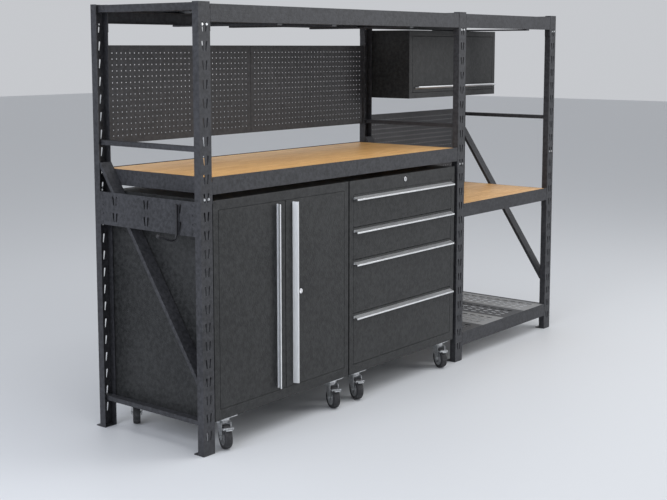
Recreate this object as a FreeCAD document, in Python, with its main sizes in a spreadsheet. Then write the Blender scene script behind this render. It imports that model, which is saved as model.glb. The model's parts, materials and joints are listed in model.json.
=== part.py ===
"""Steel garage workbench: a rack with a wooden worktop, two rolling cabinets,
a flip-up wall cabinet, pegboards and decks, as a parametric document.

Work axes: X to the right from the left posts' outer face, Y from the front of
the posts towards the rear, Z up from the floor.  Every node is then placed so
that the origin is the middle of the object's footprint, on the floor.
"""
import FreeCAD, Part
import math
import os

doc = FreeCAD.newDocument("Workbench")
sheet = doc.addObject("Spreadsheet::Sheet", "Sizes")
Vec = FreeCAD.Vector


class Dim:
    """A length that carries both its value and the expression that gives it."""

    def __init__(self, text, value):
        self.text = text
        self.value = float(value)

    @staticmethod
    def of(thing):
        return thing if isinstance(thing, Dim) else Dim(repr(float(thing)), thing)

    def _join(self, sign, other, value):
        return Dim("(%s %s %s)" % (self.text, sign, other.text), value)

    def __add__(self, other):
        other = Dim.of(other)
        return self._join("+", other, self.value + other.value)

    def __sub__(self, other):
        other = Dim.of(other)
        return self._join("-", other, self.value - other.value)

    def __mul__(self, other):
        other = Dim.of(other)
        return self._join("*", other, self.value * other.value)

    def __truediv__(self, other):
        other = Dim.of(other)
        return self._join("/", other, self.value / other.value)

    def __radd__(self, other):
        return Dim.of(other) + self

    def __rsub__(self, other):
        return Dim.of(other) - self

    def __rmul__(self, other):
        return Dim.of(other) * self

    def __neg__(self):
        return Dim.of(0) - self

    def sin(self):
        return Dim("sin(%s)" % self.text, math.sin(math.radians(self.value)))

    def cos(self):
        return Dim("cos(%s)" % self.text, math.cos(math.radians(self.value)))


SIZES = {
    # rack
    "post_high": 1829, "post_wide": 64, "post_deep": 34, "post_wall": 2.5,
    "rack_deep": 638, "bench_bay": 1801, "side_bay": 896,
    "slot_pitch": 75, "slot_high": 38, "slot_apart": 23, "slot_head": 9, "slot_tail": 5,
    "slot_lean": 4, "slot_start": 62,
    "foot_thick": 4, "foot_tail": 25,
    "beam_high": 71, "beam_wall": 2, "ledge_deep": 36, "toe_deep": 20, "beam_inset": 0.5,
    "connector_high": 108, "connector_thick": 3,
    "top_beam_top": 1821, "bench_beam_top": 1137, "shelf_beam_top": 838, "base_beam_top": 150,
    "board_thick": 18, "board_drop": 3, "board_gap": 2, "skirt_thick": 2,
    "plank_wide": 223, "plank_high": 16, "plank_wall": 1.5,
    "hole_long": 38, "hole_wide": 14, "hole_pitch_long": 54, "hole_pitch_cross": 42,
    "support_wide": 30, "support_high": 8,
    "bench_support_one": 483, "bench_support_two": 849, "bench_support_three": 1446,
    "side_support": 2573,
    "bar_high": 20, "bar_wide": 34, "top_bar_top": 1826, "top_bar_high": 30, "middle_bar_top": 1258, "base_bar_top": 141,
    "brace_high": 16, "brace_inset": 32, "brace_wall": 2, "brace_top": 1160, "brace_foot": 300,
    "peg_thick": 1.5, "peg_fold": 12, "peg_front": 617, "bench_peg_low": 1237, "bench_peg_high": 1659,
    "side_peg_low": 860, "side_peg_high": 1280,
    "side_plate_low": 900, "side_plate_high": 1041, "side_plate_thick": 2,
    "side_slot_margin": 93, "side_slot_row_low": 936, "side_slot_row_high": 1006,
    "bolt_head": 5.5, "bolt_high": 3.5, "bolt_apart": 24, "bench_bolt_level": 1050, "top_bolt_level": 1740,
    # hook on the side plate
    "hook_back": 132, "hook_strap_wide": 22, "hook_strap_thick": 2, "hook_rod": 9,
    "hook_top": 1023, "hook_turn": 896, "hook_low": 878, "hook_low_out": 35,
    "hook_tip_out": 107, "hook_tip_level": 908, "hook_ball": 18,
    # cabinets
    "cab_wide": 880, "cab_deep": 612, "cab_low": 131, "cab_high": 1041, "cab_wall": 1.5,
    "cab_side_gap": 4, "cab_gap": 8, "stile_wide": 30, "frame_deep": 20,
    "base_rail_top": 175, "door_rail_low": 1001, "drawer_rail_low": 977, "reveal": 1.5,
    "front_thick": 20, "inner_shelf_level": 590, "inner_shelf_high": 20, "inner_shelf_gap": 3,
    "front_one_low": 825, "front_two_low": 673, "front_three_low": 420, "front_space": 3,
    "tray_side_gap": 14, "tray_deep": 540, "tray_top_drop": 24, "tray_lift": 10,
    "slide_thick": 12, "slide_high": 36, "slide_gap": 1, "slide_arm": 20, "slide_deep": 500,
    "pull_out": 24, "pull_slope": 9, "pull_drop": 16, "pull_foot": 11, "pull_wall": 2,
    "pull_from_top": 10, "pull_from_end": 10, "pull_from_middle": 46,
    "lock_head": 22, "lock_head_high": 3, "lock_barrel": 18, "lock_length": 18, "lock_clear": 0.2,
    "door_lock_right": 99, "door_lock_level": 589, "drawer_lock_level": 1014,
    # wall cabinet
    "wall_cab_front": 360, "wall_cab_low": 1376, "wall_cab_high": 1741,
    "wall_pull_from_low": 17, "wall_pull_side": 60, "hanger_wide": 60, "hanger_low": 1600,
    # casters
    "wheel_size": 100, "tyre_wide": 32, "axle_size": 8, "axle_clear": 0.08,
    "hub_size": 62, "hub_dish": 5,
    "trail": 32, "kingpin_side": 84, "kingpin_front": 40,
    "plate_long": 96, "plate_across": 76, "plate_thick": 4,
    "race_size": 56, "race_high": 14, "race_gap": 0.5, "fork_wall": 3, "fork_gap": 3,
    "crown_size": 60, "crown_low": 106,
    "pedal_reach": 84, "pedal_wide": 28, "pedal_thick": 5, "pedal_level": 88,
    "front_turn": 27, "rear_turn": 41,
}
dim = {}
for row, (alias, number) in enumerate(SIZES.items(), start=1):
    cell = "B%d" % row
    sheet.set("A%d" % row, alias)
    sheet.set(cell, str(number))
    sheet.setAlias(cell, alias)
    dim[alias] = Dim("Sizes." + alias, number)
doc.recompute()
D = type("Sizes", (), dim)          # D.post_high and so on


# ---------------------------------------------------------------- primitives
def place(item, x, y, z):
    for axis, value in zip("xyz", (x, y, z)):
        item.setExpression("Placement.Base." + axis, Dim.of(value).text)
    return item


def box(x0, x1, y0, y1, z0, z1):
    """A block between two corners, each edge bound to its own expression."""
    item = doc.addObject("Part::Box", "Block")
    for prop, low, high in (("Length", x0, x1), ("Width", y0, y1), ("Height", z0, z1)):
        item.setExpression(prop, (Dim.of(high) - low).text)
    return place(item, x0, y0, z0)


TURN = {"x": FreeCAD.Rotation(Vec(0, 1, 0), 90), "y": FreeCAD.Rotation(Vec(1, 0, 0), -90),
        "z": FreeCAD.Rotation()}


def rod(x, y, z, width, length, along="z"):
    """A cylinder of diameter width that starts at a point and runs along an axis."""
    item = doc.addObject("Part::Cylinder", "Rod")
    item.setExpression("Radius", (Dim.of(width) / 2).text)
    item.setExpression("Height", Dim.of(length).text)
    item.Placement = FreeCAD.Placement(Vec(), TURN[along])
    return place(item, x, y, z)


def fuse(*items):
    item = doc.addObject("Part::MultiFuse", "Joined")
    item.Shapes = list(items)
    return item


def cut(base, *tools):
    item = doc.addObject("Part::Cut", "Cut")
    item.Base = base
    item.Tool = tools[0] if len(tools) == 1 else fuse(*tools)
    return item


def shaped(shape, name="Shaped"):
    item = doc.addObject("Part::Feature", name)
    item.Shape = shape
    return item


def prism(points, direction, length):
    """A closed outline of points, swept along a direction."""
    corners = [Vec(*[Dim.of(c).value for c in point]) for point in points]
    face = Part.Face(Part.makePolygon(corners + corners[:1]))
    return shaped(face.extrude(Vec(*direction) * Dim.of(length).value), "Profile")


nodes = []


def node(label, *members, at=None, turn=None):
    """One named sub-part, moved from the work axes to the object's own origin."""
    item = doc.addObject("Part::Compound", label)
    item.Label = label
    item.Links = list(members)
    x, y = at or (0, 0)
    if turn is not None:
        item.Placement = FreeCAD.Placement(Vec(), FreeCAD.Rotation(Vec(0, 0, 1), -turn.value))
        item.setExpression("Placement.Rotation.Angle", (-turn).text)
    place(item, x - origin_x, y - origin_y, 0)
    nodes.append(item)
    return item


# ---------------------------------------------------------------- driving places
rack_wide = D.post_wide * 3 + D.bench_bay + D.side_bay
post_left = Dim.of(0)
post_middle = D.post_wide + D.bench_bay
post_right = rack_wide - D.post_wide
bench_left, bench_right = D.post_wide, post_middle
side_left, side_right = post_middle + D.post_wide, post_right
rear_post = D.rack_deep - D.post_deep

pedal_front = D.pedal_reach * D.front_turn.cos() + D.pedal_wide / 2 * D.front_turn.sin()
front_edge = D.kingpin_front - pedal_front
rear_edge = D.rack_deep + D.foot_tail
left_edge = -(D.hook_tip_out + D.hook_ball / 2)
origin_x = (left_edge + rack_wide) / 2
origin_y = (front_edge + rear_edge) / 2

BAYS = {"bench": (bench_left, bench_right), "side": (side_left, side_right)}


# ---------------------------------------------------------------- rack
def slot_wire(across, level, lean, spot):
    """A teardrop slot, wide head and narrow tail, leaning a little; spot turns (across, up) to a point."""
    head, tail, high = D.slot_head.value / 2, D.slot_tail.value / 2, D.slot_high.value
    foot = across - lean * D.slot_lean.value
    points = [(across - head, level + high - head), (across - head * 0.7, level + high),
              (across + head * 0.7, level + high), (across + head, level + high - head),
              (foot + tail, level), (foot - tail, level)]
    return Part.makePolygon([spot(*point) for point in points + points[:1]])


def slot_pair(middle, level, spot):
    """Two slots that lean apart towards their heads."""
    return [slot_wire(middle + side * D.slot_apart.value / 2, level, side, spot) for side in (-1, 1)]


def slotted_web(x, y):
    """The post's outward face with its column of slot pairs."""
    low, high = D.foot_thick.value, D.post_high.value
    wide, wall = D.post_wide.value, D.post_wall.value
    outline = Part.makePolygon([Vec(x, 0, low), Vec(x + wide, 0, low), Vec(x + wide, 0, high),
                                Vec(x, 0, high), Vec(x, 0, low)])
    holes = []
    level = D.slot_start.value
    while level + D.slot_high.value < high - D.slot_head.value:
        holes += slot_pair(x + wide / 2, level, lambda across, up: Vec(across, 0, up))
        level += D.slot_pitch.value
    web = Part.Face([outline] + holes).extrude(Vec(0, wall, 0))
    web.translate(Vec(0, y, 0))
    return shaped(web, "SlottedWeb")


def post(x, front):
    """One channel post: slotted web outwards, open towards the rack's inside."""
    y0 = Dim.of(0) if front else rear_post
    y1 = y0 + D.post_deep
    web_y = y0.value if front else (y1 - D.post_wall).value
    left = box(x, x + D.post_wall, y0, y1, D.foot_thick, D.post_high)
    right = box(x + D.post_wide - D.post_wall, x + D.post_wide, y0, y1, D.foot_thick, D.post_high)
    return fuse(slotted_web(x.value, web_y), left, right)


def end_frame(x):
    """Three level bars and one slanting brace between a front and a rear post."""
    side = (D.post_wide - D.bar_wide) / 2
    bars = [box(x + side, x + side + D.bar_wide, D.post_wall, D.rack_deep - D.post_wall,
                top - high, top)
            for top, high in ((D.top_bar_top, D.top_bar_high), (D.middle_bar_top, D.bar_high),
                              (D.base_bar_top, D.bar_high))]
    y_front, y_rear = D.brace_inset.value, (D.rack_deep - D.brace_inset).value
    z_front, z_rear = D.brace_foot.value, D.brace_top.value
    run = Vec(0, y_rear - y_front, z_rear - z_front)
    along = Vec(run).normalize()
    across = Vec(0, -along.z, along.y)
    high, wall, x0 = D.brace_high.value, D.brace_wall.value, (x + D.post_wall).value
    wide = (D.post_wide - D.post_wall * 2).value
    outline = [(0, 0), (0, high), (wide, high), (wide, 0), (wide - wall, 0),
               (wide - wall, high - wall), (wall, high - wall), (wall, 0)]
    start = Vec(x0, y_front, z_front) - across * (high / 2)
    corners = [start + Vec(px, 0, 0) + across * pz for px, pz in outline]
    brace = Part.Face(Part.makePolygon(corners + corners[:1])).extrude(run)
    return bars + [shaped(brace, "Brace")]


for label, x in (("post_left", post_left), ("post_middle", post_middle), ("post_right", post_right)):
    node(label, post(x, True), post(x, False))
for label, x in (("end_frame_left", post_left), ("end_frame_middle", post_middle),
                 ("end_frame_right", post_right)):
    node(label, *end_frame(x))
node("foot_plates", *[box(x, x + D.post_wide, y, y + D.post_deep + D.foot_tail, 0, D.foot_thick)
                      for x in (post_left, post_middle, post_right) for y in (Dim.of(0), rear_post)])


def beam(bay, top, front, seat):
    """A folded beam with a ledge at seat below its top, and the connector at each end."""
    x0, x1 = BAYS[bay]
    low = top - D.beam_high

    def span(depth_from, depth_to):
        """A depth range measured from the rack's front face, or its rear face."""
        if front:
            return depth_from, depth_to
        return D.rack_deep - depth_to, D.rack_deep - depth_from

    skin = D.beam_inset + D.beam_wall
    ledge_top = top - seat
    left, right = x0 + D.connector_thick, x1 - D.connector_thick
    folded = fuse(box(left, right, *span(D.beam_inset, skin), low, top),
                  box(left, right, *span(D.beam_inset, skin + D.ledge_deep),
                      ledge_top - D.beam_wall, ledge_top),
                  box(left, right, *span(D.beam_inset, skin + D.toe_deep), low, low + D.beam_wall))
    connectors = [box(end, end + D.connector_thick, *span(D.beam_inset, D.post_deep),
                      top - D.connector_high, ledge_top) for end in (x0, right)]
    return [folded] + connectors


def beam_pair(bay, top, seat):
    return beam(bay, top, True, seat) + beam(bay, top, False, seat)


board_seat = D.board_drop + D.board_thick
plank_seat = D.board_drop + D.plank_high
node("top_beams", *beam_pair("bench", D.top_beam_top, plank_seat),
     *beam_pair("side", D.top_beam_top, plank_seat))


def end_skirts(bay, top):
    """Upright strips that close a board's two ends between the posts."""
    x0, x1 = BAYS[bay]
    front = D.beam_inset + D.beam_wall + D.ledge_deep
    return [box(x, x + D.skirt_thick, front, D.rack_deep - front, top - D.beam_high, top - D.board_drop)
            for x in (x0, x1 - D.skirt_thick)]


for label, bay, top in (("worktop_beams", "bench", D.bench_beam_top),
                        ("shelf_beams", "side", D.shelf_beam_top)):
    node(label, *beam_pair(bay, top, board_seat), *end_skirts(bay, top))
node("bottom_beams", *beam_pair("side", D.base_beam_top, plank_seat))

top_beam_low = D.top_beam_top - D.beam_high
seat_front = D.beam_inset + D.beam_wall + 1
seat_rear = D.rack_deep - seat_front
node("deck_supports", *[box(x - D.support_wide / 2, x + D.support_wide / 2, seat_front, seat_rear,
                            top_beam_low - D.support_high, top_beam_low)
                        for x in (D.bench_support_one, D.bench_support_two,
                                  D.bench_support_three, D.side_support)])


def board(bay, beam_top):
    x0, x1 = BAYS[bay]
    top = beam_top - D.board_drop
    return box(x0 + D.board_gap, x1 - D.board_gap, seat_front, seat_rear,
               top - D.board_thick, top)


node("worktop_board", board("bench", D.bench_beam_top))
node("shelf_board", board("side", D.shelf_beam_top))


def plank(x, top):
    """A deck plank: a perforated sheet with two folded edges."""
    wide, wall = D.plank_wide.value, D.plank_wall.value
    y0, y1, level = seat_front.value, seat_rear.value, (top - D.plank_wall).value
    outline = Part.makePolygon([Vec(x.value, y0, level), Vec(x.value + wide, y0, level),
                                Vec(x.value + wide, y1, level), Vec(x.value, y1, level),
                                Vec(x.value, y0, level)])
    radius = D.hole_wide.value / 2
    half = D.hole_long.value / 2 - radius
    columns = int((wide - D.hole_wide.value) // D.hole_pitch_cross.value)
    rows = int((y1 - y0 - D.hole_long.value) // D.hole_pitch_long.value)
    holes = []
    for column in range(columns):
        px = x.value + wide / 2 + (column - (columns - 1) / 2) * D.hole_pitch_cross.value
        for step in range(rows):
            py = (y0 + y1) / 2 + (step - (rows - 1) / 2) * D.hole_pitch_long.value
            a, b = Vec(px - radius, py - half, level), Vec(px - radius, py + half, level)
            c, d = Vec(px + radius, py + half, level), Vec(px + radius, py - half, level)
            top_arc = Part.Arc(b, Vec(px, py + half + radius, level), c).toShape()
            low_arc = Part.Arc(d, Vec(px, py - half - radius, level), a).toShape()
            holes.append(Part.Wire([Part.makeLine(a, b), top_arc, Part.makeLine(c, d), low_arc]))
    sheet_top = shaped(Part.Face([outline] + holes).extrude(Vec(0, 0, wall)), "Perforated")
    low = top - D.plank_high
    edges = [box(edge, edge + D.plank_wall, seat_front, seat_rear, low, top)
             for edge in (x, x + D.plank_wide - D.plank_wall)]
    return fuse(sheet_top, *edges)


def deck(bay, beam_top):
    x0, x1 = BAYS[bay]
    room = x1 - x0
    count = int(room.value // D.plank_wide.value)
    gap = (room - D.plank_wide * count) / count
    first = x0 + gap / 2
    return [plank(first + (D.plank_wide + gap) * step, beam_top - D.board_drop)
            for step in range(count)]


node("top_deck", *(deck("bench", D.top_beam_top) + deck("side", D.top_beam_top)))
node("bottom_deck", *deck("side", D.base_beam_top))


def pegboard(x0, x1, low, high):
    """A panel folded back all round."""
    rear = D.peg_front + D.peg_fold
    return cut(box(x0, x1, D.peg_front, rear, low, high),
               box(x0 + D.peg_thick, x1 - D.peg_thick, D.peg_front + D.peg_thick, rear + 1,
                   low + D.peg_thick, high - D.peg_thick))


bench_centre = (bench_left + bench_right) / 2
node("bench_pegboards", pegboard(bench_left, bench_centre, D.bench_peg_low, D.bench_peg_high),
     pegboard(bench_centre, bench_right, D.bench_peg_low, D.bench_peg_high))
node("side_pegboard", pegboard(side_left, side_right, D.side_peg_low, D.side_peg_high))


def side_plate():
    """The slotted plate between the left posts, flush with their outer faces."""
    front, rear = D.post_deep.value, rear_post.value
    low, high = D.side_plate_low.value, D.side_plate_high.value

    def spot(across, up):
        return Vec(0, across, up)

    outline = Part.makePolygon([spot(front, low), spot(rear, low), spot(rear, high),
                                spot(front, high), spot(front, low)])
    reach = (rear - front) / 2 - D.side_slot_margin.value
    holes = []
    for offset in (-reach, 0, reach):
        for level in (D.side_slot_row_low.value, D.side_slot_row_high.value):
            holes += slot_pair((front + rear) / 2 + offset, level - D.slot_high.value / 2, spot)
    return shaped(Part.Face([outline] + holes).extrude(Vec(D.side_plate_thick.value, 0, 0)), "SlottedPlate")


node("side_plate", side_plate())


def tool_hook():
    """A bent round rod on a strap, with a ball at its tip."""
    rod_out = D.hook_strap_thick + D.hook_rod / 2
    points = [Vec(-(rod_out).value, D.hook_back.value, z) for z in
              (D.hook_top.value, D.hook_turn.value)]
    points.append(Vec(-D.hook_low_out.value, D.hook_back.value, D.hook_low.value))
    points.append(Vec(-D.hook_tip_out.value, D.hook_back.value, D.hook_tip_level.value))
    radius = D.hook_rod.value / 2
    solids = []
    for start, end in zip(points, points[1:]):
        solids.append(Part.makeCylinder(radius, (end - start).Length, start, end - start))
    solids += [Part.makeSphere(radius, point) for point in points[1:3]]
    solids.append(Part.makeSphere(D.hook_ball.value / 2, points[3]))
    bent = shaped(solids[0].fuse(solids[1:]), "BentRod")
    strap = box(-D.hook_strap_thick, 0, D.hook_back - D.hook_strap_wide / 2,
                D.hook_back + D.hook_strap_wide / 2, D.side_plate_low, D.hook_top)
    return fuse(strap, bent)


node("tool_hook", tool_hook())
node("rack_bolts", *[
    rod(x + D.post_wide / 2 + D.bolt_apart * (side / 2), y, z, D.bolt_head * 2, D.bolt_high, "y")
    for x in (post_left, post_middle, post_right)
    for y in (-D.bolt_high, D.rack_deep)
    for z in (D.bench_bolt_level, D.top_bolt_level)
    for side in (-1, 1)])


# ---------------------------------------------------------------- pulls and locks
def pull_outline():
    """Outline as (outwards, away from the attached edge)."""
    wall = D.pull_wall
    return [(0, 0), (D.pull_out, D.pull_slope), (D.pull_out, D.pull_drop),
            (D.pull_out - wall, D.pull_drop), (D.pull_out - wall, D.pull_slope + wall * 0.6),
            (wall, wall * 1.7), (wall, D.pull_foot), (0, D.pull_foot)]


def level_pull(x0, x1, face_y, z, sense):
    """A pull that runs along X; sense -1 hangs down from z, +1 stands up."""
    points = [(x0, face_y - out, z + away * sense) for out, away in
              [(Dim.of(a), Dim.of(b)) for a, b in pull_outline()]]
    return prism(points, (1, 0, 0), x1 - x0)


def upright_pull(x, face_y, z0, z1, sense):
    """A pull that runs along Z; sense -1 reaches to the left of x, +1 to the right."""
    points = [(x + away * sense, face_y - out, z0) for out, away in
              [(Dim.of(a), Dim.of(b)) for a, b in pull_outline()]]
    return prism(points, (0, 0, 1), z1 - z0)


def lock(x, face_y, z):
    """A key barrel with a round head and a key slot."""
    head = rod(x, face_y - D.lock_head_high, z, D.lock_head, D.lock_head_high, "y")
    barrel = rod(x, face_y - 1, z, D.lock_barrel - D.lock_clear, D.lock_length, "y")
    slot = box(x - 1, x + 1, face_y - D.lock_head_high - 1, face_y - D.lock_head_high + 2,
               z - 4, z + 4)
    return cut(fuse(head, barrel), slot)


def lock_hole(x, face_y, z):
    return rod(x, face_y - 1, z, D.lock_barrel, D.frame_deep + 2, "y")


# ---------------------------------------------------------------- cabinets
def cabinet_shell(x0, y0, y1, z0, z1, mouth):
    """A sheet box with a mouth in its front, edged by a folded return."""
    x1 = x0 + D.cab_wide
    wall = D.cab_wall
    mx0, mx1, mz0, mz1 = mouth
    hollow = cut(box(x0, x1, y0, y1, z0, z1),
                 box(x0 + wall, x1 - wall, y0 + wall, y1 - wall, z0 + wall, z1 - wall),
                 box(mx0, mx1, y0 - 1, y0 + wall + 1, mz0, mz1))
    fold = cut(box(mx0 - wall, mx1 + wall, y0, y0 + D.frame_deep, mz0 - wall, mz1 + wall),
               box(mx0, mx1, y0 - 1, y0 + D.frame_deep + 1, mz0, mz1))
    return fuse(hollow, fold)


def pan(x0, x1, y0, z0, z1):
    """A folded front panel, open at its back."""
    wall = D.cab_wall
    return cut(box(x0, x1, y0, y0 + D.front_thick, z0, z1),
               box(x0 + wall, x1 - wall, y0 + wall, y0 + D.front_thick + 1, z0 + wall, z1 - wall))


# door cabinet
door_cab_left = bench_left + D.cab_side_gap
mouth_left = door_cab_left + D.stile_wide
mouth_right = door_cab_left + D.cab_wide - D.stile_wide
door_middle = door_cab_left + D.cab_wide / 2
door_low, door_high = D.base_rail_top + D.reveal, D.door_rail_low - D.reveal
node("door_cabinet_shell", cabinet_shell(door_cab_left, Dim.of(0), D.cab_deep, D.cab_low, D.cab_high,
                                         (mouth_left, mouth_right, D.base_rail_top, D.door_rail_low)))
node("door_cabinet_shelf", cut(
    box(door_cab_left + D.cab_wall, door_cab_left + D.cab_wide - D.cab_wall,
        D.front_thick + D.inner_shelf_gap, D.cab_deep - D.cab_wall,
        D.inner_shelf_level, D.inner_shelf_level + D.inner_shelf_high),
    box(door_cab_left + D.cab_wall * 2, door_cab_left + D.cab_wide - D.cab_wall * 2,
        D.front_thick + D.inner_shelf_gap + D.cab_wall, D.cab_deep - D.cab_wall * 2,
        D.inner_shelf_level - 1, D.inner_shelf_level + D.inner_shelf_high - D.cab_wall)))
door_lock_x = door_middle + D.door_lock_right
node("left_door", pan(mouth_left + D.reveal, door_middle - D.reveal, Dim.of(0), door_low, door_high))
node("right_door", cut(pan(door_middle + D.reveal, mouth_right - D.reveal, Dim.of(0), door_low, door_high),
                       lock_hole(door_lock_x, 0, D.door_lock_level)))
pull_low, pull_high = door_low + D.pull_from_end, door_high - D.pull_from_end
node("left_door_handle", upright_pull(door_middle - D.pull_from_middle, Dim.of(0),
                                      pull_low, pull_high, -1))
node("right_door_handle", upright_pull(door_middle + D.pull_from_middle, Dim.of(0),
                                       pull_low, pull_high, 1))
node("door_lock", lock(door_lock_x, Dim.of(0), D.door_lock_level))

# drawer cabinet
drawer_cab_left = door_cab_left + D.cab_wide + D.cab_gap
bank_left = drawer_cab_left + D.stile_wide
bank_right = drawer_cab_left + D.cab_wide - D.stile_wide
drawer_middle = drawer_cab_left + D.cab_wide / 2
node("drawer_cabinet_shell", cut(
    cabinet_shell(drawer_cab_left, Dim.of(0), D.cab_deep, D.cab_low, D.cab_high,
                  (bank_left, bank_right, D.base_rail_top, D.drawer_rail_low)),
    lock_hole(drawer_middle, 0, D.drawer_lock_level)))
node("drawer_lock", lock(drawer_middle, Dim.of(0), D.drawer_lock_level))

front_lows = [D.front_one_low, D.front_two_low, D.front_three_low, D.base_rail_top + D.reveal]
front_highs = [D.drawer_rail_low - D.reveal] + [low - D.front_space for low in front_lows[:3]]
tray_left, tray_right = bank_left + D.tray_side_gap, bank_right - D.tray_side_gap
slides = []
for number, (low, high) in enumerate(zip(front_lows, front_highs), start=1):
    floor, rim = low + D.tray_lift, high - D.tray_top_drop
    tray = cut(box(tray_left, tray_right, D.cab_wall, D.tray_deep, floor, rim),
               box(tray_left + D.cab_wall, tray_right - D.cab_wall, D.cab_wall * 2,
                   D.tray_deep - D.cab_wall, floor + D.cab_wall, rim + 1))
    node("drawer_%d" % number,
         fuse(pan(bank_left + D.reveal, bank_right - D.reveal, Dim.of(0), low, high), tray))
    node("drawer_handle_%d" % number,
         level_pull(bank_left + D.reveal, bank_right - D.reveal, Dim.of(0), high - D.pull_from_top, -1))
    slide_low = floor + D.tray_lift
    for inner, outer, wall_side in ((tray_left - D.slide_gap, tray_left - D.slide_gap - D.slide_thick,
                                     drawer_cab_left + D.cab_wall),
                                    (tray_right + D.slide_gap, tray_right + D.slide_gap + D.slide_thick,
                                     drawer_cab_left + D.cab_wide - D.cab_wall)):
        x0, x1 = (outer, inner) if outer.value < inner.value else (inner, outer)
        a0, a1 = (wall_side, x0) if wall_side.value < x0.value else (x1, wall_side)
        slide_front = D.frame_deep + D.reveal
        slide_rear = slide_front + D.slide_deep
        bar = box(x0, x1, slide_front, slide_rear, slide_low, slide_low + D.slide_high)
        arms = [box(a0, a1, y, y + D.slide_arm, slide_low, slide_low + D.slide_high)
                for y in (slide_front, slide_rear - D.slide_arm)]
        slides.append(fuse(bar, *arms))
node("drawer_slides", *slides)

# wall cabinet
bay_middle = (side_left + side_right) / 2
wall_left = bay_middle - D.cab_wide / 2
wall_right = bay_middle + D.cab_wide / 2
wall_mouth = (wall_left + D.stile_wide, wall_right - D.stile_wide,
              D.wall_cab_low + D.stile_wide, D.wall_cab_high - D.stile_wide)
hangers = [box(x0, x1, rear_post, rear_post + D.post_deep, D.hanger_low, D.hanger_low + D.hanger_wide)
           for x0, x1 in ((side_left, wall_left), (wall_right, side_right))]
node("wall_cabinet_shell", cabinet_shell(wall_left, D.wall_cab_front, D.rack_deep,
                                         D.wall_cab_low, D.wall_cab_high, wall_mouth), *hangers)
flap_low, flap_high = wall_mouth[2] + D.reveal, wall_mouth[3] - D.reveal
node("wall_cabinet_door", pan(wall_mouth[0] + D.reveal, wall_mouth[1] - D.reveal,
                              D.wall_cab_front, flap_low, flap_high))
node("wall_cabinet_handle", level_pull(wall_left + D.wall_pull_side, wall_right - D.wall_pull_side / 3,
                                       D.wall_cab_front, flap_low + D.wall_pull_from_low, 1))

# ---------------------------------------------------------------- casters
# A caster stands at its kingpin, with its wheel trailing towards -Y.
wheel_middle = D.wheel_size / 2
half_gap = D.tyre_wide / 2 + D.fork_gap
race_low = D.cab_low - D.plate_thick - D.race_high


def wheel():
    """A tyre with a dished hub and a bore, its axle along X."""
    tyre = rod(-D.tyre_wide / 2, -D.trail, wheel_middle, D.wheel_size, D.tyre_wide, "x")
    bore = rod(-D.tyre_wide, -D.trail, wheel_middle, D.axle_size + D.axle_clear * 2,
               D.tyre_wide * 2, "x")
    dishes = []
    for start in (-D.tyre_wide / 2 - 1, D.tyre_wide / 2 - D.hub_dish):
        ring = rod(start, -D.trail, wheel_middle, D.hub_size, D.hub_dish + 1, "x")
        boss = rod(start - 1, -D.trail, wheel_middle, D.axle_size * 2.5, D.hub_dish + 3, "x")
        dishes.append(cut(ring, boss))
    return cut(tyre, bore, *dishes)


def fork():
    """Crown disc, two legs down to the axle, and the axle itself."""
    crown = rod(0, 0, D.crown_low, D.crown_size, race_low - D.crown_low, "z")
    bridge = box(-half_gap - D.fork_wall, half_gap + D.fork_wall, -D.trail / 2, D.crown_size / 4,
                 D.crown_low, race_low)
    legs = []
    for x in (-half_gap - D.fork_wall, half_gap):
        foot = D.axle_size * 1.5
        points = [(x, D.crown_size / 3, race_low), (x, -D.trail - foot, race_low),
                  (x, -D.trail - foot, wheel_middle), (x, -D.trail - foot / 2, wheel_middle - foot),
                  (x, -D.trail + foot / 2, wheel_middle - foot), (x, -D.trail + foot, wheel_middle),
                  (x, D.crown_size / 3, D.crown_low)]
        legs.append(prism(points, (1, 0, 0), D.fork_wall))
    axle = rod(-half_gap - D.fork_wall * 2, -D.trail, wheel_middle, D.axle_size,
               (half_gap + D.fork_wall * 2) * 2, "x")
    return fuse(crown, bridge, *legs, axle)


def pedal():
    """The brake pedal in front of a fork, over the tyre."""
    arm = box(-D.pedal_wide / 2, D.pedal_wide / 2, -D.pedal_reach, -D.pedal_reach + D.pedal_thick * 3,
              D.pedal_level, D.pedal_level + D.pedal_thick)
    side_front = -D.pedal_reach + D.pedal_thick * 2
    link = [box(x, x + D.fork_wall, side_front, -D.trail - D.axle_size,
                D.pedal_level, D.pedal_level + D.pedal_thick)
            for x in (-half_gap - D.fork_wall, half_gap)]
    cross = box(-half_gap - D.fork_wall, half_gap + D.fork_wall, side_front,
                side_front + D.pedal_thick, D.pedal_level + D.pedal_thick,
                D.pedal_level + D.pedal_thick * 2)
    return fuse(arm, cross, *link)


def mounting(x, y):
    """The square plate under the cabinet and the bearing race below it."""
    plate = box(x - D.plate_long / 2, x + D.plate_long / 2, y - D.kingpin_front + 2,
                y - D.kingpin_front + 2 + D.plate_across, D.cab_low - D.plate_thick, D.cab_low)
    race = rod(x, y, race_low + D.race_gap, D.race_size, D.race_high - D.race_gap + 1, "z")
    return fuse(plate, race)


wheel_master = wheel()
rear_fork = fork()
front_fork = fuse(fork(), pedal())
for cabinet, left in (("door_cabinet", door_cab_left), ("drawer_cabinet", drawer_cab_left)):
    columns = (("left", left + D.kingpin_side), ("right", left + D.cab_wide - D.kingpin_side))
    rows = (("front", D.kingpin_front, D.front_turn, front_fork),
            ("rear", D.cab_deep - D.kingpin_front, D.rear_turn, rear_fork))
    plates = []
    for row_name, y, turn, fork_master in rows:
        for column_name, x in columns:
            corner = "%s_%s_%s" % (cabinet.split("_")[0], row_name, column_name)
            node("fork_" + corner, fork_master, at=(x, y), turn=turn)
            node("wheel_" + corner, wheel_master, at=(x, y), turn=turn)
            plates.append(mounting(x, y))
    node(cabinet + "_caster_plates", *plates)

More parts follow.
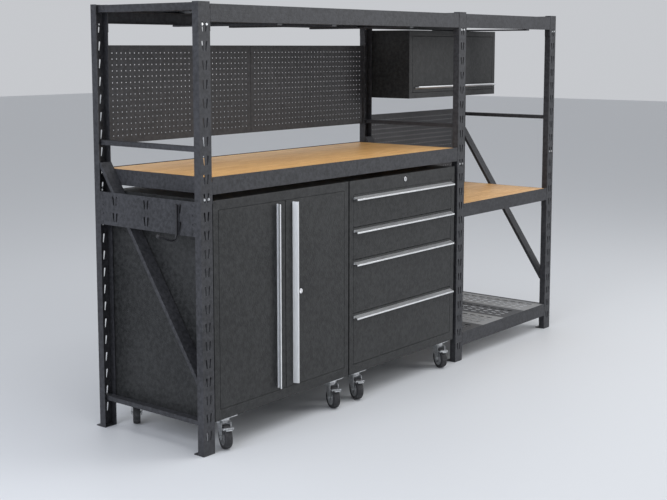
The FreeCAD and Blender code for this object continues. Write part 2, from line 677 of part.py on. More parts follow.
# ---------------------------------------------------------------- check and write
doc.recompute()
for item in doc.Objects:
    if {"Invalid", "Error"} & set(item.State):
        raise RuntimeError("%s did not build: %s" % (item.Label, item.State))
for item in nodes:
    if item.Shape.isNull() or not item.Shape.isValid() or item.Shape.Volume <= 0:
        raise RuntimeError("%s has no valid solid" % item.Label)
os.makedirs("parts", exist_ok=True)
for item in nodes:
    item.Shape.exportStep(os.path.join("parts", item.Label + ".step"))
whole = Part.makeCompound([item.Shape for item in nodes]).BoundBox
print("nodes", len(nodes), "box", whole)
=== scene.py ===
"""The looks of a steel garage workbench with rolling cabinets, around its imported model."""
import json
import math

import bmesh
import bpy
from mathutils import Matrix, Vector

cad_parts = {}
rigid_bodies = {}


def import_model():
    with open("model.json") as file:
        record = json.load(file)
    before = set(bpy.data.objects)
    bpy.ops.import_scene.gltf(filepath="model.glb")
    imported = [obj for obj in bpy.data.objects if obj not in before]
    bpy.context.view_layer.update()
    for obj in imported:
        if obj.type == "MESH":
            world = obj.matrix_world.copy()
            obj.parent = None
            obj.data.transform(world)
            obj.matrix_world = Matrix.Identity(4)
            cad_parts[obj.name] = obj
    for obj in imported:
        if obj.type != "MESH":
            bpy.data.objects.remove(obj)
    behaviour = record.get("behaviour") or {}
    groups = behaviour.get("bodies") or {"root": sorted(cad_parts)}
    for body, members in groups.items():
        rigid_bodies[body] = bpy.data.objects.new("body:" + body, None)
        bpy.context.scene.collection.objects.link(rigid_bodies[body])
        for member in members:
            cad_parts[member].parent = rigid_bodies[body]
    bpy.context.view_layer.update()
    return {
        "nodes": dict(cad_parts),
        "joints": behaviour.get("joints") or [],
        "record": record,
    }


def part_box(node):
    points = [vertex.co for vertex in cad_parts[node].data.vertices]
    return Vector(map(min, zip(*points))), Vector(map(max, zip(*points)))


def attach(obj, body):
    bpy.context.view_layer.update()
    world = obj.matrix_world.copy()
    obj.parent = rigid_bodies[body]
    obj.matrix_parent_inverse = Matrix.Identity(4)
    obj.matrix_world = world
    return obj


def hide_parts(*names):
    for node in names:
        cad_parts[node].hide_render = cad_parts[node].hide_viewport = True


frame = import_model()

NODES = frame["nodes"]
SLOT_OF = {part["node"]: part["material_slot"] for part in frame["record"]["subparts"]}
BODY_OF = {name: body for body, names in frame["record"]["behaviour"]["bodies"].items()
           for name in names}
JOINTS = {joint["name"]: joint for joint in frame["joints"]}


# ---------------------------------------------------------------- shader maths
class Sock:
    """A shader socket that takes part in ordinary arithmetic."""

    def __init__(self, mat, out):
        self.mat = mat
        self.out = out

    def _op(self, kind, other, swap=False):
        pair = (other, self) if swap else (self, other)
        return self.mat.node("ShaderNodeMath", {"operation": kind}, {0: pair[0], 1: pair[1]})

    def __add__(self, other):
        return self._op("ADD", other)

    def __radd__(self, other):
        return self._op("ADD", other, True)

    def __sub__(self, other):
        return self._op("SUBTRACT", other)

    def __rsub__(self, other):
        return self._op("SUBTRACT", other, True)

    def __mul__(self, other):
        return self._op("MULTIPLY", other)

    def __rmul__(self, other):
        return self._op("MULTIPLY", other, True)

    def __truediv__(self, other):
        return self._op("DIVIDE", other)

    def __mod__(self, other):
        return self._op("FLOORED_MODULO", other)

    def __gt__(self, other):
        return self._op("GREATER_THAN", other)

    def __lt__(self, other):
        return self._op("LESS_THAN", other)

    def floor(self):
        return self.mat.node("ShaderNodeMath", {"operation": "FLOOR"}, {0: self})

    def ramp(self, low, high):
        """0 below low, 1 above high, smooth between."""
        return self.mat.node("ShaderNodeMapRange", {"interpolation_type": "SMOOTHSTEP"},
                             {"Value": self, "From Min": low, "From Max": high})


def opaque(value):
    """A colour with its alpha of 1 added. A socket or a number passes through."""
    return (*value, 1) if isinstance(value, tuple) else value


class Finish:
    """One material, built from its nodes."""

    def __init__(self, name, roughness=0.5, metallic=0.0, **fixed):
        self.material = bpy.data.materials.new(name)
        self.material.use_nodes = True
        self.tree = self.material.node_tree
        self.shader = self.tree.nodes["Principled BSDF"]
        self.feed(self.shader, {"Roughness": roughness, "Metallic": metallic})
        self.feed(self.shader, {key.replace("_", " "): value for key, value in fixed.items()})
        self.coord = self.node("ShaderNodeTexCoord", out="Object")

    def feed(self, node, values):
        for key, value in values.items():
            if isinstance(value, Sock):
                self.tree.links.new(value.out, node.inputs[key])
            elif value is not None:
                node.inputs[key].default_value = value

    def node(self, kind, settings=None, values=None, out=0):
        """A node with its settings made first, then its values or links, and one of its outputs."""
        made = self.tree.nodes.new(kind)
        for key, value in (settings or {}).items():
            setattr(made, key, value)
        self.feed(made, values or {})
        return Sock(self, made.outputs[out])

    def noise(self, scale, detail=3.0, stretch=(1, 1, 1)):
        place = self.node("ShaderNodeMapping", None, {"Vector": self.coord, "Scale": stretch})
        return self.node("ShaderNodeTexNoise", None,
                         {"Vector": place, "Scale": scale, "Detail": detail, "Roughness": 0.55}, out="Fac")

    def cells(self, scale, feature="SMOOTH_F1"):
        return self.node("ShaderNodeTexVoronoi", {"feature": feature},
                         {"Vector": self.coord, "Scale": scale}, out="Distance")

    def mix(self, factor, first, second):
        """Two colours mixed: the node's colour inputs are 6 and 7, and its colour output is 2."""
        return self.node("ShaderNodeMix", {"data_type": "RGBA"},
                         {0: factor, 6: opaque(first), 7: opaque(second)}, out=2)

    def axis(self, name):
        return self.node("ShaderNodeSeparateXYZ", None, {"Vector": self.coord}, out=name)

    def colour(self, value):
        self.feed(self.shader, {"Base Color": opaque(value)})

    def bump(self, height, strength, distance):
        bumped = self.node("ShaderNodeBump", None,
                           {"Height": height, "Strength": strength, "Distance": distance})
        self.feed(self.shader, {"Normal": bumped})


def powder_coat(name, dark, light, hammer=190.0, depth=0.0011, rough=0.42):
    """Hammered powder coat: small rounded dimples over a slow change of tone."""
    f = Finish(name, Specular_IOR_Level=0.34)
    dimples = f.cells(hammer)
    drift = f.noise(hammer * 0.35, 4)
    dust = f.noise(3.0, 4)
    f.colour(f.mix((drift * 0.7 + dust * 0.3).ramp(0.32, 0.68), dark, light))
    f.feed(f.shader, {"Roughness": rough + dust * 0.12 + drift * 0.08})
    f.bump(dimples + drift * 0.6, 0.55, depth)
    return f.material


def oak(name):
    """Laminated boards: staves along X, each with its own tone and grain."""
    stave_wide = 0.068
    stave_long = 0.62
    glue_line = 0.012
    f = Finish(name, Coat_Roughness=0.25)
    across = f.axis("Y") / stave_wide
    stave = across.floor()
    shift = f.node("ShaderNodeTexWhiteNoise", {"noise_dimensions": "1D"}, {"W": stave}, out="Value")
    joint_x = ((f.axis("X") + shift * 0.9) / stave_long).floor()
    tone = f.node("ShaderNodeTexWhiteNoise", {"noise_dimensions": "1D"},
                  {"W": joint_x * 7.31 + stave * 3.17}, out="Value")
    offset = f.node("ShaderNodeCombineXYZ", None,
                    {"X": tone * 9.0, "Y": shift * 5.0, "Z": tone * 4.0})
    moved = f.node("ShaderNodeVectorMath", {"operation": "ADD"}, {0: f.coord, 1: offset})
    fine = f.node("ShaderNodeMapping", None, {"Vector": moved, "Scale": (1.4, 34, 34)})
    grain = f.node("ShaderNodeTexNoise", None, {"Vector": fine, "Scale": 7.0, "Detail": 6.0,
                                                "Distortion": 0.6}, out="Fac")
    wide = f.node("ShaderNodeMapping", None, {"Vector": moved, "Scale": (0.9, 9, 9)})
    figure = f.node("ShaderNodeTexNoise", None, {"Vector": wide, "Scale": 3.2, "Detail": 3.0,
                                                 "Distortion": 1.6}, out="Fac")
    base = f.mix(tone, (0.80, 0.45, 0.15), (0.93, 0.567, 0.22))
    streak = f.mix((grain * 0.75 + figure * 0.4).ramp(0.42, 0.78), base, (0.60, 0.293, 0.085))
    edge = (across % 1.0) < glue_line
    f.colour(f.mix(edge * 0.55, streak, (0.16, 0.07, 0.025)))
    f.feed(f.shader, {"Roughness": 0.34 + grain * 0.22, "Coat Weight": 0.06})
    f.bump(grain, 0.25, 0.0006)
    return f.material


def brushed(name, tone, stretch, roughness=0.28, scale=60.0):
    """Metal with fine scratches along one direction."""
    f = Finish(name, metallic=1.0)
    lines = f.noise(scale, 4, stretch)
    smear = f.noise(5.0, 3)
    f.colour(f.mix(lines.ramp(0.3, 0.7), tuple(c * 0.82 for c in tone), tone))
    f.feed(f.shader, {"Roughness": roughness + lines * 0.14 + smear * 0.1})
    f.bump(lines, 0.12, 0.0003)
    return f.material


def zinc(name):
    """Zinc plate: spangled grey with dull patches."""
    f = Finish(name, metallic=0.9)
    spangle = f.cells(150, feature="F1")
    patch = f.noise(26, 5)
    f.colour(f.mix((spangle * 0.5 + patch * 0.6).ramp(0.3, 0.75), (0.36, 0.37, 0.38), (0.62, 0.63, 0.64)))
    f.feed(f.shader, {"Roughness": 0.27 + patch * 0.25})
    f.bump(spangle, 0.1, 0.0004)
    return f.material


def tyre_rubber(name):
    """Dark rubber with paler scuffs all over."""
    f = Finish(name)
    scuff = f.noise(70, 5)
    f.colour(f.mix(scuff.ramp(0.45, 0.75), (0.016, 0.016, 0.018), (0.05, 0.05, 0.052)))
    f.feed(f.shader, {"Roughness": 0.55 + scuff * 0.3})
    f.bump(scuff, 0.3, 0.0006)
    return f.material


def hub_plastic(name):
    """Moulded grey plastic with a fine speckle."""
    f = Finish(name)
    speck = f.noise(120, 3)
    f.colour(f.mix(speck, (0.20, 0.205, 0.21), (0.30, 0.305, 0.31)))
    f.feed(f.shader, {"Roughness": 0.36 + speck * 0.2})
    f.bump(speck, 0.15, 0.0004)
    return f.material


def deck_sheet(name, first_x, pitch):
    """Bands along X, one pitch wide from first_x on, dark and pale in turn."""
    f = Finish(name)
    index = ((f.axis("X") - first_x) / pitch).floor()
    pale = (index % 2.0) > 0.5
    drift = f.noise(30, 4)
    dark = f.mix(drift, (0.030, 0.031, 0.034), (0.052, 0.053, 0.057))
    light = f.mix(drift, (0.20, 0.205, 0.21), (0.29, 0.295, 0.30))
    f.colour(f.mix(pale, dark, light))
    f.feed(f.shader, {"Roughness": 0.42 + drift * 0.2})
    f.bump(f.cells(190), 0.3, 0.0008)
    return f.material


PLANKS_IN_BOTTOM_DECK = 4
deck_low, deck_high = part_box("bottom_deck")
plank_pitch = (deck_high.x - deck_low.x) / PLANKS_IN_BOTTOM_DECK

MATERIALS = {
    "rack_coat": powder_coat("charcoal hammered coat", (0.020, 0.0205, 0.0232), (0.046, 0.047, 0.0525)),
    "cabinet_coat": powder_coat("cabinet hammered coat", (0.010, 0.0105, 0.0108), (0.028, 0.0288, 0.0292),
                                150.0, 0.0016, 0.36),
    "board": oak("oak staves"),
    "pull_level": brushed("satin aluminium along", (0.80, 0.81, 0.82), (0.4, 14, 14)),
    "pull_upright": brushed("satin aluminium upright", (0.80, 0.81, 0.82), (14, 14, 0.4)),
    "zinc": zinc("zinc plate"),
    "chrome": brushed("polished lock face", (0.83, 0.83, 0.84), (6, 6, 6), 0.12, 30.0),
    "rubber": tyre_rubber("dark tyre rubber"),
    "hub": hub_plastic("grey hub plastic"),
    "deck": deck_sheet("perforated deck coat", deck_low.x, plank_pitch),
    "hook": powder_coat("smooth black coat", (0.016, 0.016, 0.018), (0.030, 0.030, 0.033),
                        260.0, 0.0004, 0.3),
}


def look_of(name):
    """The material that a CAD node gets."""
    slot = SLOT_OF[name]
    if slot == "charcoal_steel":
        return "cabinet_coat" if any(word in name for word in ("cabinet", "door", "drawer")) else "rack_coat"
    if slot == "pull_aluminium":
        return "pull_upright" if "door_handle" in name else "pull_level"
    return {"deck_steel": "deck", "oak_board": "board", "bright_steel": "zinc",
            "lock_chrome": "chrome", "wheel_rubber": "rubber", "hook_paint": "hook"}[slot]


# ---------------------------------------------------------------- pieces
def placed(name, data):
    """A new object in the scene."""
    made = bpy.data.objects.new(name, data)
    bpy.context.scene.collection.objects.link(made)
    return made


def link(name, mesh, material, body, stands_for=()):
    """A finished piece, with its material, riding on its body."""
    piece = placed(name, mesh)
    mesh.materials.clear()
    mesh.materials.append(MATERIALS[material])
    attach(piece, body)
    if stands_for:
        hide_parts(*stands_for)
    return piece


def evaluated(piece):
    """The plain mesh that a piece's modifiers or bevel give. The piece itself is removed."""
    graph = bpy.context.evaluated_depsgraph_get()
    mesh = bpy.data.meshes.new_from_object(piece.evaluated_get(graph), depsgraph=graph)
    old = piece.data
    bpy.data.objects.remove(piece)
    bpy.data.batch_remove([old])
    return mesh


MERGE_DISTANCE = 1e-5
FLAT_ANGLE = math.radians(0.5)
CORNER_ANGLE = math.radians(40)


def softened(name, width):
    """A CAD node's shape with its corners rolled over, as folded sheet or turned metal has."""
    mesh = NODES[name].data.copy()
    work = bmesh.new()
    work.from_mesh(mesh)
    bmesh.ops.remove_doubles(work, verts=work.verts, dist=MERGE_DISTANCE)
    bmesh.ops.dissolve_limit(work, angle_limit=FLAT_ANGLE, verts=work.verts, edges=work.edges)
    for face in work.faces:
        face.smooth = False
    work.to_mesh(mesh)
    work.free()
    temp = placed("softening", mesh)
    bevel = temp.modifiers.new("rolled", "BEVEL")
    bevel.width = width
    bevel.segments = 2
    bevel.limit_method = "ANGLE"
    bevel.angle_limit = CORNER_ANGLE
    return link(name + "_folded", evaluated(temp), look_of(name), BODY_OF[name], [name])


# the radius in metres that each node's corners are rolled to, in the order that the pieces are made
SOFT_EDGES = {"door_cabinet_shell": 0.0007, "drawer_cabinet_shell": 0.0007, "wall_cabinet_shell": 0.0007,
              "left_door": 0.0012, "right_door": 0.0012, "wall_cabinet_door": 0.0012,
              "worktop_board": 0.003, "shelf_board": 0.003, "side_plate": 0.0006, "foot_plates": 0.001,
              "end_frame_left": 0.0008, "end_frame_middle": 0.0008, "end_frame_right": 0.0008,
              "top_beams": 0.0008, "worktop_beams": 0.0008, "shelf_beams": 0.0008, "bottom_beams": 0.0008,
              "left_door_handle": 0.0007, "right_door_handle": 0.0007, "wall_cabinet_handle": 0.0007,
              "door_lock": 0.0007, "drawer_lock": 0.0007}
for number in range(1, 5):
    SOFT_EDGES["drawer_%d" % number] = 0.0012
    SOFT_EDGES["drawer_handle_%d" % number] = 0.0007
for name in NODES:
    if name.startswith("fork_"):
        SOFT_EDGES[name] = 0.0008
for name, width in SOFT_EDGES.items():
    softened(name, width)

for name, cad in NODES.items():
    cad.data.materials.clear()
    cad.data.materials.append(MATERIALS[look_of(name)])


# ---------------------------------------------------------------- node trees
def new_tree(name, inputs):
    tree = bpy.data.node_groups.new(name, "GeometryNodeTree")
    tree.interface.new_socket("Geometry", in_out="INPUT", socket_type="NodeSocketGeometry")
    for label, kind in inputs:
        tree.interface.new_socket(label, in_out="INPUT", socket_type=kind)
    tree.interface.new_socket("Geometry", in_out="OUTPUT", socket_type="NodeSocketGeometry")
    return tree, tree.nodes.new("NodeGroupInput"), tree.nodes.new("NodeGroupOutput")


def add(tree, kind, settings=None, values=None):
    made = tree.nodes.new(kind)
    for key, value in (settings or {}).items():
        setattr(made, key, value)
    for key, value in (values or {}).items():
        if isinstance(value, bpy.types.NodeSocket):
            tree.links.new(value, made.inputs[key])
        else:
            made.inputs[key].default_value = value
    return made


def joined(tree, *parts):
    made = tree.nodes.new("GeometryNodeJoinGeometry")
    for part in parts:
        tree.links.new(part.outputs[0], made.inputs[0])
    return made


WASHER_THICK = 0.0012


def perforated_tree():
    """A flat sheet of square tiles, each with a round hole, grown to its thickness along its normal."""
    tree, given, result = new_tree("Perforated panel", [
        ("Pitch", "NodeSocketFloat"), ("Hole Radius", "NodeSocketFloat"), ("Columns", "NodeSocketInt"),
        ("Rows", "NodeSocketInt"), ("Span X", "NodeSocketFloat"), ("Span Y", "NodeSocketFloat"),
        ("Thickness", "NodeSocketFloat"), ("Material", "NodeSocketMaterial")])
    pick = given.outputs
    edge = add(tree, "GeometryNodeCurvePrimitiveQuadrilateral", None,
               {"Width": pick["Pitch"], "Height": pick["Pitch"]})
    ring = add(tree, "GeometryNodeCurvePrimitiveCircle", None,
               {"Resolution": 12, "Radius": pick["Hole Radius"]})
    both = joined(tree, edge, ring)
    tile = add(tree, "GeometryNodeFillCurve", None, {"Curve": both.outputs[0]})
    points = add(tree, "GeometryNodeMeshGrid", None,
                 {"Size X": pick["Span X"], "Size Y": pick["Span Y"],
                  "Vertices X": pick["Columns"], "Vertices Y": pick["Rows"]})
    laid = add(tree, "GeometryNodeInstanceOnPoints", None,
               {"Points": points.outputs["Mesh"], "Instance": tile.outputs[0]})
    real = add(tree, "GeometryNodeRealizeInstances", None, {"Geometry": laid.outputs[0]})
    whole = add(tree, "GeometryNodeMergeByDistance", None,
                {"Geometry": real.outputs[0], "Distance": MERGE_DISTANCE})
    grown = add(tree, "GeometryNodeExtrudeMesh", None,
                {"Mesh": whole.outputs[0], "Offset Scale": pick["Thickness"], "Individual": False})
    under = add(tree, "GeometryNodeFlipFaces", None, {"Mesh": whole.outputs[0]})
    closed = joined(tree, grown, under)
    sealed = add(tree, "GeometryNodeMergeByDistance", None,
                 {"Geometry": closed.outputs[0], "Distance": MERGE_DISTANCE})
    finish = add(tree, "GeometryNodeSetMaterial", None,
                 {"Geometry": sealed.outputs[0], "Material": pick["Material"]})
    tree.links.new(finish.outputs[0], result.inputs[0])
    return tree


def stud_tree():
    """A washer and a head with the given sides on every vertex, standing along Z before Turn."""
    tree, given, result = new_tree("Fastener heads", [
        ("Head Radius", "NodeSocketFloat"), ("Head Height", "NodeSocketFloat"),
        ("Sides", "NodeSocketInt"), ("Washer Radius", "NodeSocketFloat"),
        ("Turn", "NodeSocketVector"), ("Material", "NodeSocketMaterial")])
    pick = given.outputs
    head = add(tree, "GeometryNodeMeshCylinder", None,
               {"Vertices": pick["Sides"], "Radius": pick["Head Radius"], "Depth": pick["Head Height"]})
    washer = add(tree, "GeometryNodeMeshCylinder", None,
                 {"Vertices": 20, "Radius": pick["Washer Radius"], "Depth": WASHER_THICK})
    half = add(tree, "ShaderNodeMath", {"operation": "DIVIDE"}, {0: pick["Head Height"], 1: 2.0})
    lift = add(tree, "ShaderNodeCombineXYZ", None, {"Z": half.outputs[0]})
    raised = add(tree, "GeometryNodeTransform", None,
                 {"Geometry": head.outputs[0], "Translation": lift.outputs[0]})
    both = joined(tree, raised, washer)
    laid = add(tree, "GeometryNodeInstanceOnPoints", None,
               {"Points": pick["Geometry"], "Instance": both.outputs[0], "Rotation": pick["Turn"]})
    real = add(tree, "GeometryNodeRealizeInstances", None, {"Geometry": laid.outputs[0]})
    finish = add(tree, "GeometryNodeSetMaterial", None,
                 {"Geometry": real.outputs[0], "Material": pick["Material"]})
    tree.links.new(finish.outputs[0], result.inputs[0])
    return tree


def grown_from(tree, points, values):
    """The plain mesh that a node tree makes from some loose points."""
    seed = bpy.data.meshes.new("points")
    seed.from_pydata([tuple(p) for p in points], [], [])
    temp = placed("growing", seed)
    modifier = temp.modifiers.new("tree", "NODES")
    modifier.node_group = tree
    for item in tree.interface.items_tree:
        if item.item_type == "SOCKET" and item.in_out == "INPUT" and item.name in values:
            modifier[item.identifier] = values[item.name]
    return evaluated(temp)


PERFORATED = perforated_tree()
STUDS = stud_tree()

# pegboards: a perforated face inside a plain folded rim
PEG_PITCH = 0.0254
PEG_HOLE = 0.0028
PEG_BORDER = 0.01
SHEET = 0.0015
PANEL_GAP = 0.001


def slab(work, low, high):
    """A block between two corners, added to a bmesh."""
    low, high = Vector(low), Vector(high)
    made = bmesh.ops.create_cube(work, size=1.0)["verts"]
    bmesh.ops.scale(work, vec=high - low, verts=made)
    bmesh.ops.translate(work, vec=(low + high) / 2, verts=made)
    return made


def pegboard(name, x0, x1, low, high, front, rear, stands_for):
    """One panel: holes on a square pitch, a plain border, and edges folded back."""
    columns = int((x1 - x0 - 2 * PEG_BORDER) / PEG_PITCH)
    rows = int((high - low - 2 * PEG_BORDER) / PEG_PITCH)
    wide, tall = columns * PEG_PITCH, rows * PEG_PITCH
    mid_x, mid_z = (x0 + x1) / 2, (low + high) / 2
    mesh = grown_from(PERFORATED, [(0, 0, 0)], {
        "Pitch": PEG_PITCH, "Hole Radius": PEG_HOLE, "Columns": columns, "Rows": rows,
        "Span X": wide - PEG_PITCH, "Span Y": tall - PEG_PITCH, "Thickness": SHEET,
        "Material": MATERIALS["rack_coat"]})
    mesh.transform(Matrix.Translation((mid_x, front + SHEET, mid_z)) @ Matrix.Rotation(math.pi / 2, 4, "X"))
    work = bmesh.new()
    work.from_mesh(mesh)
    left, right = mid_x - wide / 2, mid_x + wide / 2
    under, over = mid_z - tall / 2, mid_z + tall / 2
    border = ((x0, under, left, over), (right, under, x1, over), (x0, low, x1, under), (x0, over, x1, high))
    for from_x, from_z, to_x, to_z in border:
        slab(work, (from_x, front, from_z), (to_x, front + SHEET, to_z))
    folds = ((x0, low, x0 + SHEET, high), (x1 - SHEET, low, x1, high),
             (x0, low, x1, low + SHEET), (x0, high - SHEET, x1, high))
    for from_x, from_z, to_x, to_z in folds:
        slab(work, (from_x, front + SHEET, from_z), (to_x, rear, to_z))
    work.to_mesh(mesh)
    work.free()
    return link(name, mesh, "rack_coat", "rack", stands_for)


def pegboards():
    """Two panels side by side on the bench bay, and one on the side bay."""
    low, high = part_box("bench_pegboards")
    middle = (low.x + high.x) / 2
    for side, x0, x1 in (("left", low.x, middle - PANEL_GAP), ("right", middle + PANEL_GAP, high.x)):
        pegboard("bench_pegboard_" + side, x0, x1, low.z, high.z, low.y, high.y, ["bench_pegboards"])
    low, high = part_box("side_pegboard")
    pegboard("side_pegboard_panel", low.x, high.x, low.z, high.z, low.y, high.y, ["side_pegboard"])


pegboards()

# ---------------------------------------------------------------- fasteners
BOLT = {"Head Radius": 0.0046, "Head Height": 0.0033, "Sides": 6, "Washer Radius": 0.0055}
RIVET = {"Head Radius": 0.0032, "Head Height": 0.0018, "Sides": 14, "Washer Radius": 0.0042}
AXLE_NUT = {"Head Radius": 0.0072, "Head Height": 0.0030, "Sides": 6, "Washer Radius": 0.0085}
QUARTER = math.pi / 2


def studs(kind, points, turn, finish):
    """Heads and washers of one kind at some points, as one mesh."""
    return grown_from(STUDS, points, {**kind, "Turn": turn, "Material": MATERIALS[finish]})


def rack_bolts():
    """Pairs of bolts at the beam connectors, on the front and the rear of each post."""
    apart = 0.012
    low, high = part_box("rack_bolts")
    heights = (low.z + BOLT["Washer Radius"], high.z - BOLT["Washer Radius"])
    posts = [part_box(name) for name in ("post_left", "post_middle", "post_right")]
    centres = [(post[0].x + post[1].x) / 2 for post in posts]
    for end, y, turn in (("front", posts[0][0].y, QUARTER), ("rear", posts[0][1].y, -QUARTER)):
        points = [(x + side * apart, y, z) for x in centres for side in (-1, 1) for z in heights]
        link("bolts_" + end, studs(BOLT, points, (turn, 0, 0), "zinc"), "zinc", "rack",
             ["rack_bolts"])


def side_plate_rivets():
    """A column of rivets at each end of the side plate. The heights are shares of the plate's own."""
    inset = 0.016
    low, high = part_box("side_plate")
    points = [(low.x, y, low.z + share * (high.z - low.z))
              for y in (low.y + inset, high.y - inset) for share in (0.08, 0.34, 0.61, 0.88)]
    link("side_plate_rivets", studs(RIVET, points, (0, -QUARTER, 0), "rack_coat"),
         "rack_coat", "rack")


rack_bolts()
side_plate_rivets()


# ---------------------------------------------------------------- turned pieces
WHEEL_STEPS = 48
SPOKES = 6
SPOKE_HALF = 0.0022
AXLE_BORE = 0.0041
NUT_CLEAR = 0.0062


def turned(outline):
    """A ring of (along, radius) points spun round the X axis, closed and facing out."""
    work = bmesh.new()
    rings = []
    for step in range(WHEEL_STEPS):
        angle = 2 * math.pi * step / WHEEL_STEPS
        rings.append([work.verts.new((along, radius * math.cos(angle), radius * math.sin(angle)))
                      for along, radius in outline])
    count = len(outline)
    for step in range(WHEEL_STEPS):
        here, there = rings[step], rings[(step + 1) % WHEEL_STEPS]
        for k in range(count):
            j = (k + 1) % count
            work.faces.new((here[k], here[j], there[j], there[k]))
    bmesh.ops.recalc_face_normals(work, faces=work.faces)
    for face in work.faces:
        face.smooth = True
    return work


def finished(work, name):
    mesh = bpy.data.meshes.new(name)
    work.to_mesh(mesh)
    work.free()
    return mesh


def tyre_outline(radius, half):
    """A closed loop: crowned tread, round shoulders, side walls and the seat on the hub."""
    seat, shoulder = radius * 0.70, radius * 0.90
    points = [(-half, seat), (-half, shoulder)]
    points += [(-half + half * 0.42 * (1 - math.cos(t)), shoulder + radius * 0.085 * math.sin(t))
               for t in (0.4, 0.8, 1.2, math.pi / 2)]
    points += [(0, radius)]
    points += [(-x, r) for x, r in reversed(points[:-1])]
    return points


def hub_outline(rim, half):
    """A closed loop: rim flange, thin web and thick boss, the same on both sides."""
    points = [(-half * 0.92, rim), (-half * 0.92, rim * 0.86), (-half * 0.42, rim * 0.80),
              (-half * 0.42, rim * 0.42), (-half * 0.95, rim * 0.34), (-half * 0.95, AXLE_BORE)]
    return points + [(-along, radius) for along, radius in reversed(points)]


def hub_mesh(rim, half):
    """The hub, with ribs between its boss and its rim."""
    work = turned(hub_outline(rim, half))
    for spoke in range(SPOKES):
        spin = Matrix.Rotation(spoke * 2 * math.pi / SPOKES, 4, "X")
        made = slab(work, (-half * 0.8, -SPOKE_HALF, rim * 0.36), (half * 0.8, SPOKE_HALF, rim * 0.84))
        bmesh.ops.transform(work, matrix=spin, verts=made)
    for face in work.faces:
        face.smooth = False
    return finished(work, "hub")


def caster_wheel(name):
    """The tyre and the hub of one wheel, and the two nuts of its axle, which stay on the fork."""
    corner = name[len("wheel_"):]
    joint = JOINTS["roll_" + corner]
    centre, axle = Vector(joint["pos_m"]), Vector(joint["axis"])
    stand = Matrix.Translation(centre) @ axle.to_track_quat("X", "Z").to_matrix().to_4x4()
    low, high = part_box(name)
    radius = (high.z - low.z) / 2
    half = radius * 0.32
    rim = radius * 0.715
    tyre = finished(turned(tyre_outline(radius, half)), "tyre")
    tyre.transform(stand)
    link("tyre_" + corner, tyre, "rubber", name, [name])
    hub = hub_mesh(rim, half)
    hub.transform(stand)
    link("hub_" + corner, hub, "hub", name, [name])
    for index, side in enumerate((-1, 1)):
        nut = studs(AXLE_NUT, [(side * (half + NUT_CLEAR), 0, 0)], (0, side * QUARTER, 0), "zinc")
        nut.transform(stand)
        link("axle_nut_%s_%d" % (corner, index), nut, "zinc", "fork_" + corner)


for name in NODES:
    if name.startswith("wheel_"):
        caster_wheel(name)

# ---------------------------------------------------------------- hook
ROD = 0.0045
BALL = 0.009
STRAP_THICK = 0.002


def bent_rod(route, y):
    """A round rod along a smooth curve through the plane at y. The route is (x, z) points."""
    curve = bpy.data.curves.new("rod", "CURVE")
    curve.dimensions = "3D"
    curve.bevel_depth = ROD
    curve.bevel_resolution = 5
    curve.use_fill_caps = True
    spline = curve.splines.new("NURBS")
    spline.points.add(len(route) - 1)
    for point, (x, z) in zip(spline.points, route):
        point.co = (x, y, z, 1)
    spline.order_u = 3
    spline.use_endpoint_u = True
    return evaluated(placed("bending", curve))


def tool_hook():
    """A rod that drops from its strap and sweeps out to the left, with a ball on its end."""
    low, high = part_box("tool_hook")
    y = (low.y + high.y) / 2
    rod_x = high.x - STRAP_THICK - ROD
    drops = ((rod_x, 0.001), (rod_x, 0.06), (rod_x, 0.115), (rod_x - 0.006, 0.1395),
             (rod_x - 0.028, 0.1445), (low.x + BALL + 0.035, 0.1295), (low.x + BALL, 0.1155))
    route = [(x, high.z - drop) for x, drop in drops]
    work = bmesh.new()
    work.from_mesh(bent_rod(route, y))
    ball = bmesh.ops.create_uvsphere(work, u_segments=24, v_segments=14, radius=BALL)["verts"]
    bmesh.ops.translate(work, vec=(route[-1][0], y, route[-1][1]), verts=ball)
    for face in work.faces:
        face.smooth = True
    strap_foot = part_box("side_plate")[0].z
    slab(work, (high.x - STRAP_THICK, low.y, strap_foot), (high.x, high.y, high.z))
    link("hook_rod_and_strap", finished(work, "hook"), "hook", "rack", ["tool_hook"])


tool_hook()


# ---------------------------------------------------------------- stage, light and camera
FLOOR_REACH = 30


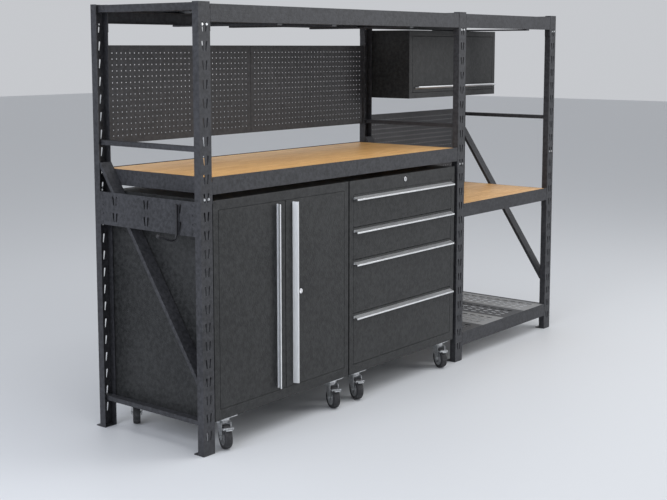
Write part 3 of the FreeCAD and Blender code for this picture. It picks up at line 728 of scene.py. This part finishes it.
def floor():
    """A plain pale floor, far wider than the bench."""
    reach = FLOOR_REACH
    mesh = bpy.data.meshes.new("floor")
    mesh.from_pydata([(-reach, -reach, 0), (reach, -reach, 0), (reach, reach, 0), (-reach, reach, 0)],
                     [], [(0, 1, 2, 3)])
    sheet = placed("floor", mesh)
    finish = Finish("floor paint", roughness=0.5)
    finish.colour((0.62, 0.635, 0.655))
    mesh.materials.append(finish.material)


def area_light(name, place, target, size, power, colour=(1, 1, 1)):
    """A soft rectangular lamp that faces its target."""
    data = bpy.data.lights.new(name, "AREA")
    data.shape = "RECTANGLE"
    data.size, data.size_y = size
    data.energy = power
    data.color = colour
    lamp = placed(name, data)
    lamp.location = place
    lamp.rotation_euler = (Vector(target) - Vector(place)).to_track_quat("-Z", "Y").to_euler()


def surroundings():
    """An even pale world that fills the shadows."""
    world = bpy.data.worlds.new("studio")
    bpy.context.scene.world = world
    world.use_nodes = True
    background = world.node_tree.nodes["Background"]
    background.inputs["Color"].default_value = (0.86, 0.88, 0.92, 1)
    background.inputs["Strength"].default_value = 0.66


# The eye stands left of the bench at head height and looks past its front.
EYE = Vector((-4.6655, -3.6079, 1.651))
HEADING = Vector((0.7806, 0.6251, 0.0))
PITCH = math.radians(6.8)


def eye():
    """The camera, pitched down, with the rest of its drop taken by the shift."""
    lens = bpy.data.cameras.new("eye")
    lens.sensor_width = 36
    lens.lens = 63.75
    lens.shift_y = -0.093
    camera = placed("eye", lens)
    camera.location = EYE
    look = HEADING * math.cos(PITCH) - Vector((0, 0, math.sin(PITCH)))
    camera.rotation_euler = look.to_track_quat("-Z", "Y").to_euler()
    bpy.context.scene.camera = camera


floor()
area_light("ceiling_soft", (0, -1.5, 4.6), (0, 0, 0.8), (6, 4), 125)
area_light("front_right", (3.6, -4.6, 2.8), (0, 0, 0.9), (3, 3), 120)
area_light("left_cool", (-5.2, -0.4, 2.6), (-1.0, 0, 0.9), (3, 3), 125, (0.86, 0.90, 1.0))
surroundings()
eye()
bpy.context.scene.view_settings.view_transform = "Standard"
